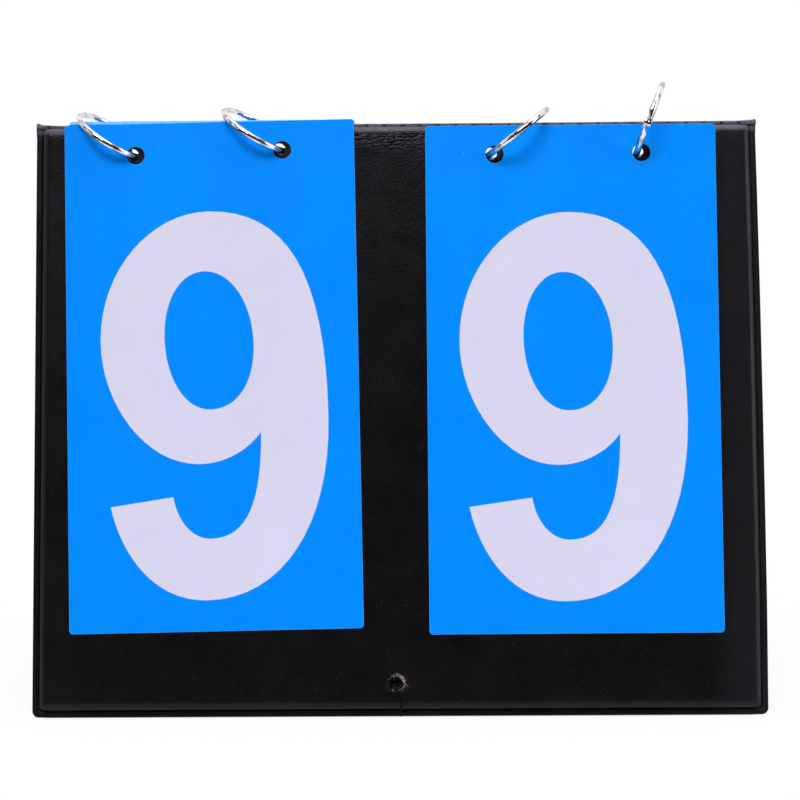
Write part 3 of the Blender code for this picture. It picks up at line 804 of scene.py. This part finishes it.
# Digits on a card: x across and the drop from its top, as a start, L for corners and C for curves
NINE_MIDDLE = (0.75, -100.3)
NINE = (
    "-0.5 31.8 C 26.5 31.8 40.6 53.9 40.6 105.9 40.6 143.9 23.2 168.8 -2.8 168.8 "
    "-21.8 168.8 -32.6 152.2 -36.2 135.7 L -14.2 132.6 C -13 141.1 -7.7 147.4 -1.2 147.4 "
    "11.8 147.4 16.7 134.3 16.9 110.3 12.4 116.5 4.3 121.2 -4.7 121.2 "
    "-23.7 121.2 -39.1 99.4 -39.1 77.4 -39.1 51.4 -20.5 31.8 -0.5 31.8",
    "-2.2 53.1 C 7.3 53.1 14.8 65 14.8 79.8 14.8 93 8.6 102.1 -0.8 102.1 -9.8 102.1 -16.6 90.5 -16.6 75.9 "
    "-16.6 62 -10.2 53.1 -2.2 53.1",
)
DIGITS = {
    0: (),
    1: ("22 31.8 L 22 168.8 -2 168.8 -2 74 -26 74 -26 57 C -12 57 0 49 3.5 31.8",),
    2: ("40 168.8 L -39.5 168.8 C -39.5 143 -27 129 -8 114 8 101.5 15.5 92 15.5 77 15.5 62 10 53.1 0.5 53.1 "
        "-9 53.1 -14.5 62 -14.8 79 L -37.8 79 C -37.5 50 -23 31.8 1 31.8 25 31.8 39.5 49 39.5 75 "
        "39.5 98 28 111 12 124 1 133 -6 139.5 -9.5 147.5 L 40 147.5",),
    3: ("-38 127 C -37.5 153 -23 168.8 1 168.8 25 168.8 40 154 40 130 40 113 33 102.5 20.5 97.5 "
        "31 92 36.5 83 36.5 69 36.5 46 23 31.8 1 31.8 -21 31.8 -35.5 46.5 -36 70 L -14 70 "
        "C -13.5 59 -8.5 52.5 0.5 52.5 9 52.5 14 59 14 70 14 82 7 88.5 -7 88.5 L -7 107 "
        "C 9 107 16.5 114.5 16.5 128 16.5 141 10.5 148 0.5 148 -9.5 148 -15 140.5 -15.5 127",),
    4: ("27 31.8 L 27 120.5 40.5 120.5 40.5 140 27 140 27 168.8 4 168.8 4 140 -41 140 -41 119 0 31.8",
        "4 66 L 4 120.5 -22.5 120.5"),
    5: ("36 31.8 L 36 52.5 -10 52.5 -13 83.5 C -8.5 79 -2.5 76.5 6 76.5 28 76.5 40.6 93 40.6 121 "
        "40.6 151 26 168.8 1 168.8 -23 168.8 -37 154 -38 130 L -15 130 C -14 141.5 -8.5 148 1 148 "
        "11 148 17 139.5 17 122 17 104.5 11.5 96 1 96 -6 96 -11 98.5 -14 104 L -35 104 -29 31.8",),
    6: NINE,
    7: ("-38 31.8 L 40 31.8 40 52 C 20 83 8 120 5 168.8 L -20 168.8 C -17 122 -5 85 14 54 L -38 54",),
    8: ("0.75 31.8 C 23 31.8 37 46.5 37 68 37 82 31 92 21 97.5 34 103 41 114 41 130 "
        "41 154 25 168.8 0.75 168.8 -23.5 168.8 -39.5 154 -39.5 130 "
        "-39.5 114 -32.5 103 -19.5 97.5 -29.5 92 -35.5 82 -35.5 68 "
        "-35.5 46.5 -21.5 31.8 0.75 31.8",),
    9: NINE,
}
OVALS = {
    0: ((0.75, -100.3, 39.9, 68.5, 0.6), (0.75, -100.3, 16.2, 47.2, 0.6)),
    8: ((0.75, -70.0, 13.5, 18.5, 0.58), (0.75, -128.0, 16.5, 20.5, 0.58)),
}


def curve_points(a, b, c, d, steps=16):
    """Points along a curve from a to d, without a itself."""
    points = []
    for i in range(1, steps + 1):
        t = i / steps
        points.append((1 - t)**3 * a + 3 * (1 - t)**2 * t * b + 3 * (1 - t) * t**2 * c + t**3 * d)
    return points


def outline_points(path):
    """Points round a closed outline that is written as a start, corners and curves."""
    points, kind = [], "L"
    for part in path.replace("L", "|L ").replace("C", "|C ").split("|"):
        words = part.split()
        if words[0] in "LC":
            kind = words.pop(0)
        numbers = [float(word) for word in words]
        ends = [Vector((x, -drop)) for x, drop in zip(numbers[::2], numbers[1::2])]
        if kind == "L":
            points += ends
        else:
            for b, c, d in zip(ends[::3], ends[1::3], ends[2::3]):
                points += curve_points(points[-1], b, c, d)
    if (points[0] - points[-1]).length < 1e-4:
        points.pop()
    return points


def oval(x, z, w, h, bulge):
    """An upright oval of half sizes w and h as a closed outline; bulge above 0.55 squares its shoulders."""
    bw, bh = bulge * w, bulge * h
    corners = [Vector(p) for p in (
        (x, z + h), (x + bw, z + h), (x + w, z + bh), (x + w, z), (x + w, z - bh), (x + bw, z - h),
        (x, z - h), (x - bw, z - h), (x - w, z - bh), (x - w, z), (x - w, z + bh), (x - bw, z + h),
        (x, z + h))]
    points = [corners[0]]
    for i in range(0, 12, 3):
        points += curve_points(*corners[i:i + 4])
    return points[:-1]


def digit_loops(number):
    """The outlines of a digit in a card's own (x, z); a six is a nine turned round."""
    loops = [outline_points(path) for path in DIGITS[number]]
    loops += [oval(*shape) for shape in OVALS.get(number, ())]
    if number == 6:
        x, z = NINE_MIDDLE
        loops = [[Vector((2 * x - p.x, 2 * z - p.y)) for p in loop] for loop in loops]
    return loops


def fill_loops(bm, loops):
    """Fills what lies between closed rows of vertices with flat faces."""
    edges = []
    for loop in loops:
        edges += [bm.edges.new((loop[i - 1], loop[i])) for i in range(len(loop))]
    return bmesh.ops.triangle_fill(bm, edges=edges, use_beauty=True)["geom"]


def add_film(bm, loops, low, high):
    """A flat printed film between two depths."""
    filled = fill_loops(bm, [[bm.verts.new((x, low, z)) for x, z in loop] for loop in loops])
    push_out(bm, [f for f in filled if isinstance(f, bmesh.types.BMFace)], (0, high - low, 0))


def number_mesh(deck, number):
    """The print on a card: its own figure in front and the next one behind, so both sides read alike."""
    bm = bmesh.new()
    face = CARD_THICKNESS / 2
    add_film(bm, digit_loops(number), -face, -face - INK_THICKNESS)
    if number < CARDS_IN_DECK - 1:
        off = DECKS[deck]["off_centre"]
        behind = [[(2 * off - x, z) for x, z in loop[::-1]] for loop in digit_loops(number + 1)]
        add_film(bm, behind, face, face + INK_THICKNESS)
    return mesh_from(bm, f"number_{deck}_{number}")


def card_loop(off_centre, shrink, trim, rise, steps=7):
    """A card's outline as (x, z) points; trim is taken off its top and rise off its foot."""
    half = CARD_WIDTH / 2 - shrink
    radius = CARD_CORNER - shrink
    points = []
    for sx, top, start in ((1, 1, 0), (-1, 1, 90), (-1, 0, 180), (1, 0, 270)):
        cx = off_centre + sx * (half - radius)
        cz = -CARD_CORNER - trim if top else CARD_CORNER - CARD_LENGTH + rise
        points += corner_arc(cx, cz, radius, start, steps)
    return points


def card_mesh(deck, behind):
    """A card with its punched holes and soft cut edges; the ones behind hang straighter and lower."""
    place = DECKS[deck]
    trim = BACK_TRIM[deck] if behind else FRONT_TRIM[deck]
    rise = 0.0 if behind else FRONT_RISE[deck]
    punch = place["punch"] + (BACK_TURN[deck] if behind else 0.0)
    soft = 0.06
    bm = bmesh.new()
    levels = []
    for shrink, depth in ((soft, -0.5), (0.0, -0.3), (0.0, 0.3), (soft, 0.5)):
        loops = [card_loop(place["off_centre"], shrink, trim, rise)]
        for across in (-HOLE_SPACING / 2, HOLE_SPACING / 2):
            z = across * math.sin(punch) - CARD_HOLE_DROP
            radius = CARD_HOLE / 2 + shrink
            loops.append([(across + radius * math.cos(a), z + radius * math.sin(a)) for a in full_turn(44)])
        y = depth * CARD_THICKNESS
        levels.append([[bm.verts.new((x, y, z)) for x, z in loop] for loop in loops])
    for level in (levels[0], levels[-1]):
        fill_loops(bm, level)
    for near, far in zip(levels, levels[1:]):
        for a, b in zip(near, far):
            for i in range(len(a)):
                side = bm.faces.new((a[i - 1], a[i], b[i], b[i - 1]))
                side.material_index = 1
    return mesh_from(bm, f"card_sheet_{deck}")


def card_axis(deck, number):
    """World (y, z) of the line that a card turns about."""
    drop = DECKS[deck]["top"] + CARD_HOLE_DROP
    front = board_point(-1, drop, CARD_SEAT + (CARDS_IN_DECK - 1 - number) * CARD_PITCH)
    back = board_point(1, drop, CARD_SEAT + number * CARD_PITCH)
    half = (back - front) / 2
    return front + half + Vector((-half.y, half.x)) / math.tan(LEAN_BACK)


def card_matrix(deck, number):
    """Where a card hangs at rest: the nine in front and the others behind."""
    place = DECKS[deck]
    rank = CARDS_IN_DECK - 1 - number
    hang = Matrix.Translation(Vector((place["middle"], -CARD_SEAT - rank * CARD_PITCH, -place["top"])) * MM)
    pivot = Vector((0, 0, -CARD_HOLE_DROP)) * MM
    turn = place["turn"] - (BACK_TURN[deck] if rank else 0.0)
    askew = Matrix.Translation(pivot) @ Matrix.Rotation(-turn, 4, "Y") @ Matrix.Translation(-pivot)
    in_front = board_matrix("front") @ hang @ askew
    if rank == 0:
        return in_front
    y, z = card_axis(deck, number)
    line = Matrix.Translation((0, y * MM, z * MM))
    return line @ Matrix.Rotation(-FLIP, 4, "X") @ line.inverted() @ in_front


def build_cards(finish):
    """Both decks of cards with their printed numbers."""
    for deck in DECKS:
        for number in range(CARDS_IN_DECK):
            body = f"card_{deck}_{number}"
            matrix = card_matrix(deck, number)
            sheet = card_mesh(deck, number < CARDS_IN_DECK - 1)
            sheet.materials.append(finish["card"])
            sheet.materials.append(finish["card_edge"])
            card = add_piece(f"{body}_sheet", sheet, None, matrix)
            ink = add_piece(f"{body}_number", number_mesh(deck, number), finish["ink"], matrix, False)
            declare(card, body, body)
            declare(ink, body)


# Rings

def ring_matrix(ring):
    """A ring's own frame in the world, and how high its centre is above the line between its holes."""
    chord_half, chord_z = board_point(1, hole_drop(ring), CHORD_FACE)
    rise = math.sqrt(RING_RADIUS**2 - chord_half**2)
    yaw = Matrix.Rotation(math.radians(ring["yaw"]), 4, "Z")
    lean = Matrix.Rotation(math.radians(ring["lean"]), 4, "Y")
    return Matrix.Translation(ring_place(ring, chord_z)) @ yaw @ lean, rise


def add_revolved(bm, profile, centre, sides):
    """Adds a shape turned about X at a (y, z) centre; the profile is (radius, x) pairs from axis to axis."""
    first = bm.verts.new((profile[0][1], centre[0], centre[1]))
    last = bm.verts.new((profile[-1][1], centre[0], centre[1]))
    rings = []
    for radius, x in profile[1:-1]:
        rings.append([bm.verts.new((x, centre[0] + radius * math.cos(a), centre[1] + radius * math.sin(a)))
                      for a in full_turn(sides)])
    join_rows(bm, rings, capped=False)
    for i in range(sides):
        j = (i + 1) % sides
        bm.faces.new((first, rings[0][j], rings[0][i]))
        bm.faces.new((last, rings[-1][i], rings[-1][j]))


def ring_half_mesh(name, rise, end, start, stop, low):
    """One half of a book ring: round wire that flattens into its share of the hinge, with a round eye."""
    leaf = (WIRE_DIAMETER - CLEARANCE) / 2
    eye = WIRE_DIAMETER * 1.35 / 2
    wire = WIRE_DIAMETER / 2
    steps, sides = 96, 20
    bm = bmesh.new()
    sections = []
    for step in range(steps + 1):
        angle = start + (stop - start) * step / steps
        along = abs(math.radians(angle - start)) * RING_RADIUS
        from_snap = abs(math.radians(stop - angle)) * RING_RADIUS
        flat = 1 - smooth_step(eye * 0.7, eye * 0.7 + 3.2, along)
        round_end = 1 - 0.06 * (1 - smooth_step(0.0, 0.12, from_snap))
        thick = (wire + (leaf / 2 - wire) * flat) * round_end
        wide = (wire + (eye * 0.86 - wire) * flat) * round_end
        beside = (low + leaf / 2) * flat
        a = math.radians(angle)
        out = Vector((0, math.cos(a), math.sin(a)))
        section = []
        for turn in full_turn(sides):
            c, s = math.cos(turn), math.sin(turn)
            square = 1 + 0.22 * flat * abs(math.sin(2 * turn))
            section.append(bm.verts.new(out * (RING_RADIUS + c * wide * square)
                                        + Vector((beside + s * thick * square, 0, rise))))
        sections.append(section)
    join_rows(bm, sections)
    soft = 0.16
    high = low + leaf
    profile = ((0.0, low), (eye - soft, low), (eye - 0.05, low + 0.05), (eye, low + soft),
               (eye, high - soft), (eye - 0.05, high - 0.05), (eye - soft, high), (0.0, high))
    add_revolved(bm, profile, (end * RING_RADIUS, rise), 40)
    return mesh_from(bm, name)


def build_rings(finish):
    """Four hinged book rings: lower half, swinging upper half, and a riveted pin with domed heads."""
    leaf = (WIRE_DIAMETER - CLEARANCE) / 2
    slack = CLEARANCE / 2
    reach = WIRE_DIAMETER / 2 + CLEARANCE
    snap = math.degrees(0.01 / RING_RADIUS)
    pin, head = RIVET_DIAMETER / 2, RIVET_HEAD / 2
    dome = ((head, reach - 0.02), (head, reach + 0.04), (0.8 * head, reach + 0.18),
            (0.45 * head, reach + 0.27), (0.0, reach + 0.3))
    profile = [(radius, -x) for radius, x in dome[::-1]] + [(pin, 0.02 - reach), (pin, reach - 0.02), *dome]
    for name, ring in RINGS.items():
        matrix, rise = ring_matrix(ring)
        end = ring["hinge_end"]
        for half, way, low in (("upper", 1, slack), ("lower", -1, -slack - leaf)):
            start, stop = (0, way * (180 - snap)) if end > 0 else (180, 180 - way * (180 - snap))
            label = f"ring_{name}_{half}"
            mesh = ring_half_mesh(label + "_wire", rise, end, start, stop, low)
            wire = add_piece(label + "_wire", mesh, finish["chrome"], matrix)
            declare(wire, ("gate_" if half == "upper" else "ring_") + name, label)
        bm = bmesh.new()
        add_revolved(bm, profile, (end * RING_RADIUS, rise), 32)
        label = f"ring_{name}_pin"
        rivet = add_piece(label, mesh_from(bm, label), finish["chrome"], matrix)
        declare(rivet, "ring_" + name, f"ring_{name}_rivet")


# Tether

def smooth_route(points, spacing):
    """Points a fixed way apart on a smooth curve through a route's own points."""
    ends = [2 * points[0] - points[1], *points, 2 * points[-1] - points[-2]]
    fine = []
    for a, b, c, d in zip(ends, ends[1:], ends[2:], ends[3:]):
        for i in range(24):
            t = i / 24
            fine.append(0.5 * (2 * b + (c - a) * t + (2 * a - 5 * b + 4 * c - d) * t**2
                               + (3 * b - a - 3 * c + d) * t**3))
    fine.append(points[-1])
    reach = sum((b - a).length for a, b in zip(fine, fine[1:]))
    count = max(4, round(reach / spacing))
    route, walked, target = [fine[0]], 0.0, 1
    for a, b in zip(fine, fine[1:]):
        step = (b - a).length
        while target < count and walked + step >= reach * target / count:
            route.append(a.lerp(b, (reach * target / count - walked) / step))
            target += 1
        walked += step
    return route + [fine[-1]]


def strand_mesh(name, route, diameter, twist=2.6, sides=15):
    """A three-strand twisted string along a route; twist is the length of one turn."""
    bm = bmesh.new()
    way = (route[1] - route[0]).normalized()
    side = way.orthogonal().normalized()
    walked = 0.0
    sections = []
    for i, point in enumerate(route):
        way = (route[min(i + 1, len(route) - 1)] - route[max(i - 1, 0)]).normalized()
        side = (side - way * side.dot(way)).normalized()
        across = way.cross(side)
        if i:
            walked += (point - route[i - 1]).length
        turn = 2 * math.pi * walked / twist
        section = []
        for a in full_turn(sides):
            radius = diameter / 2 * (0.86 + 0.14 * math.cos(3 * (a - turn / 3)))
            section.append(bm.verts.new(point + (side * math.cos(a) + across * math.sin(a)) * radius))
        sections.append(section)
    join_rows(bm, sections)
    return mesh_from(bm, name)


def string_loop(sign):
    """The loop's route in a board's frame: up inside, out of the hole, down the face and under the edge."""
    x = sign * STRING_X
    hole = sign * TETHER_HOLE_X
    skin = TETHER_DIAMETER / 2 + 0.35
    face = BOARD_THICKNESS + skin
    edge = -BOARD_LENGTH
    centre = -TETHER_HOLE_DROP
    return [Vector(point) for point in (
        (x, KNOT_Y - 0.2, KNOT_Z + KNOT_DIAMETER * 0.4 + 0.3),
        (x, skin + 0.3, centre - 2.6),
        (0.5 * (x + hole), skin - 0.2, centre - 0.9),
        (hole, -0.5 * BOARD_THICKNESS, centre - 0.5),
        (hole, -face + 0.2, centre - 1.2),
        (0.6 * x + 0.4 * hole, -face, centre - 3.2),
        (x + 0.9 * sign, -face, centre - 5.2),
        (x + 0.4 * sign, -face + 0.5, edge + 3.6),
        (x, -WELD_THICKNESS - 0.75, edge + 0.25),
        (x, -0.2, edge + 0.6),
        (x, skin + 0.2, edge + 1.5),
        (x, KNOT_Y - 0.2, KNOT_Z - KNOT_DIAMETER * 0.4 - 0.3),
    )]


def knot_mesh(name, centre, sign):
    """A small overhand knot pulled tight: one string through a trefoil, with two short tails."""
    route = []
    for i in range(90):
        t = 2 * math.pi * i / 89
        bend = Vector((math.sin(t) + 2 * math.sin(2 * t), -1.25 * math.sin(3 * t),
                       math.cos(t) - 2 * math.cos(2 * t)))
        route.append(centre + bend * 0.36)
    tail = [centre + Vector((across * sign, y, z))
            for across, y, z in ((0.5, 0.3, -0.6), (1.2, 0.9, -1.5), (1.0, 1.2, -2.6))]
    bm = bmesh.new()
    for path in (route, smooth_route(tail, 0.3)):
        part = strand_mesh("strand", path, TETHER_DIAMETER * 0.92)
        bm.from_mesh(part)
        bpy.data.meshes.remove(part)
    mesh = bpy.data.meshes.new(name)
    bm.to_mesh(mesh)
    bm.free()
    return mesh


def build_tether(finish):
    """The string that stops the boards from spreading."""
    ends, loops = [], []
    for side, sign in (("front", 1), ("rear", -1)):
        matrix = board_matrix(side)
        label = f"tether_{side}_loop"
        route = smooth_route(string_loop(sign), 0.3)
        mesh = strand_mesh(label, route, TETHER_DIAMETER)
        loop = add_piece(label + "_string", mesh, finish["string"], matrix)
        centre = Vector((sign * STRING_X, KNOT_Y, KNOT_Z))
        label = f"tether_{side}_tie"
        knot = add_piece(label, knot_mesh(label, centre, sign), finish["string"], matrix)
        for piece, node in ((loop, f"tether_{side}_loop"), (knot, f"tether_{side}_knot")):
            declare(piece, side + "_board", node)
            loops.append(piece)
        local = Vector((sign * STRING_X, KNOT_Y + KNOT_DIAMETER / 2 + 0.3, KNOT_Z))
        ends.append(matrix @ (local * MM) / MM)
    front, rear = ends
    middle = (front + rear) / 2 - Vector((0, 0, 0.8))
    route = smooth_route([front, middle, rear], 0.45)
    mesh = strand_mesh("tether_span_string", route, TETHER_DIAMETER)
    span = add_piece("tether_span_string", mesh, finish["string"])
    declare(span, node="tether_span")
    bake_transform(span)


# The torn lower hole

def ways(around):
    """Unit vectors out of the hole and along its edge, at an angle round it."""
    out = Vector((math.cos(around), 0, math.sin(around)))
    return out, Vector((-out.z, 0, out.x))


def flake_row(bm, middle, aside, thick):
    """The four corners of one section of a flake."""
    return [bm.verts.new(p) for p in (middle - aside - thick, middle + aside - thick,
                                      middle + aside + thick, middle - aside + thick)]


def add_torn_lining(bm, edge, rng):
    """Tongues of lining that the punch pushed inward; they close most of the hole round the string."""
    for i in range(LINING_TONGUES):
        out, along = ways(2 * math.pi * (i + rng.uniform(-0.2, 0.2)) / LINING_TONGUES)
        length = edge * rng.uniform(0.86, 1.08)
        width = 2.2 * math.pi * edge / LINING_TONGUES
        sink = rng.uniform(0.5, 1.5)
        rows = []
        for k in range(5):
            t = k / 4
            middle = out * (edge + 0.35 - (length + 0.35) * t) + Vector((0, sink * t * t, 0))
            middle += along * rng.uniform(-0.12, 0.12)
            half = width / 2 * (1 - 0.9 * t) + 0.04
            rows.append(flake_row(bm, middle, along * half, Vector((0, 0.06, 0))))
        join_rows(bm, rows)


def add_chip(bm, edge, rng):
    """A small torn flake that begins inside the hole's edge and curls up over the vinyl."""
    around = rng.uniform(0, 2 * math.pi)
    strong = 0.16 + 0.84 * max(0.0, math.cos(around - FRAY_TOWARD))**2
    reach = rng.uniform(0.3, 1.2) * strong
    start = edge - rng.uniform(0.05, 0.3)
    width = rng.uniform(0.25, 0.75) * (0.5 + 0.5 * strong)
    lift = rng.uniform(0.05, 0.5) * strong
    skew = rng.uniform(-0.4, 0.4) * strong
    out, along = ways(around)
    rows = []
    for k in range(4):
        t = k / 3
        middle = out * (start + reach * t) + along * skew * t + Vector((0, -0.06 - lift * t * t, 0))
        if k == 0:
            middle.y = 0.35
        half = width / 2 * (1 - 0.55 * t) * rng.uniform(0.75, 1.2)
        rows.append(flake_row(bm, middle, along * half, Vector((0, 0.07 * (1.2 - t), 0))))
    join_rows(bm, rows)


def add_fibre(bm, around, edge, rng):
    """One thin curved paper fibre."""
    strong = 0.12 + 0.88 * max(0.0, math.cos(around - FRAY_TOWARD))
    out, along = ways(around)
    length = rng.uniform(0.6, 1.7) * (0.45 + 0.55 * strong)
    lean = rng.uniform(-1.3, 1.3)
    way = (out * math.cos(lean) + along * math.sin(lean)).normalized()
    curl = rng.uniform(-0.5, 0.5)
    rise = rng.uniform(0.1, 0.75)
    radius = rng.uniform(0.03, 0.065)
    base = out * (edge + rng.uniform(-0.35, 0.5)) + Vector((0, -0.04, 0))
    rows = []
    for k in range(6):
        t = k / 5
        arch = Vector((0, -rise * math.sin(math.pi * 0.7 * t), 0))
        point = base + way * length * t + along * curl * t * t + arch
        thin = radius * (1.15 - 0.8 * t)
        rows.append([bm.verts.new(point + (out * math.cos(a) + Vector((0, 1, 0)) * math.sin(a)) * thin)
                     for a in full_turn(3)])
    join_rows(bm, rows)


def build_fray(finish):
    """The torn lower hole: lifted chips and fibres, most at the upper right, and torn lining inside."""
    edge = TETHER_HOLE / 2
    for side, sign, chips, fibres in (("front", 1, 60, 150), ("rear", -1, 30, 75)):
        rng = random.Random(40 + sign)
        chipped, lining = bmesh.new(), bmesh.new()
        for _ in range(chips):
            add_chip(chipped, edge, rng)
        for i in range(fibres):
            around = rng.gauss(FRAY_TOWARD, 0.75) if i % 3 else rng.uniform(0, 2 * math.pi)
            add_fibre(chipped, around, edge, rng)
        add_torn_lining(lining, edge, rng)
        fray_place = (sign * (TETHER_HOLE_X + FRAY_ACROSS), -BOARD_THICKNESS, -TETHER_HOLE_DROP - FRAY_DROP)
        lining_place = (sign * TETHER_HOLE_X, 0.05, -TETHER_HOLE_DROP)
        for bm, kind, place, look, slot in (
                (chipped, "_hole_fray", fray_place, "fray", "core_board"),
                (lining, "_hole_lining", lining_place, "lining", "cover_vinyl")):
            matrix = board_matrix(side) @ Matrix.Translation(Vector(place) * MM)
            torn = add_piece(side + kind, mesh_from(bm, side + kind), finish[look], matrix, False)
            declare(torn, side + "_board")


# Whole scene

def dress_frame(frame, finish):
    """Finishes for the solids whose own shapes stay."""
    for name, node in frame["nodes"].items():
        if name.endswith("_lining"):
            key = "lining"
        elif name.endswith("_core"):
            key = "board"
        elif name == "ridge_bead" or name.endswith("_cover"):
            key = "vinyl"
        else:
            key = {"ring": "chrome", "card": "card", "tether": "string"}[name.split("_")[0]]
        for slot in node.material_slots:
            slot.material = finish[key]
        if not node.material_slots:
            node.data.materials.append(finish[key])


def build():
    """Builds the whole scene."""
    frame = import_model()
    set_stage()
    finish = make_materials()
    dress_frame(frame, finish)
    build_covers(finish)
    build_ridge(finish)
    build_cards(finish)
    build_rings(finish)
    build_tether(finish)
    build_fray(finish)


build()
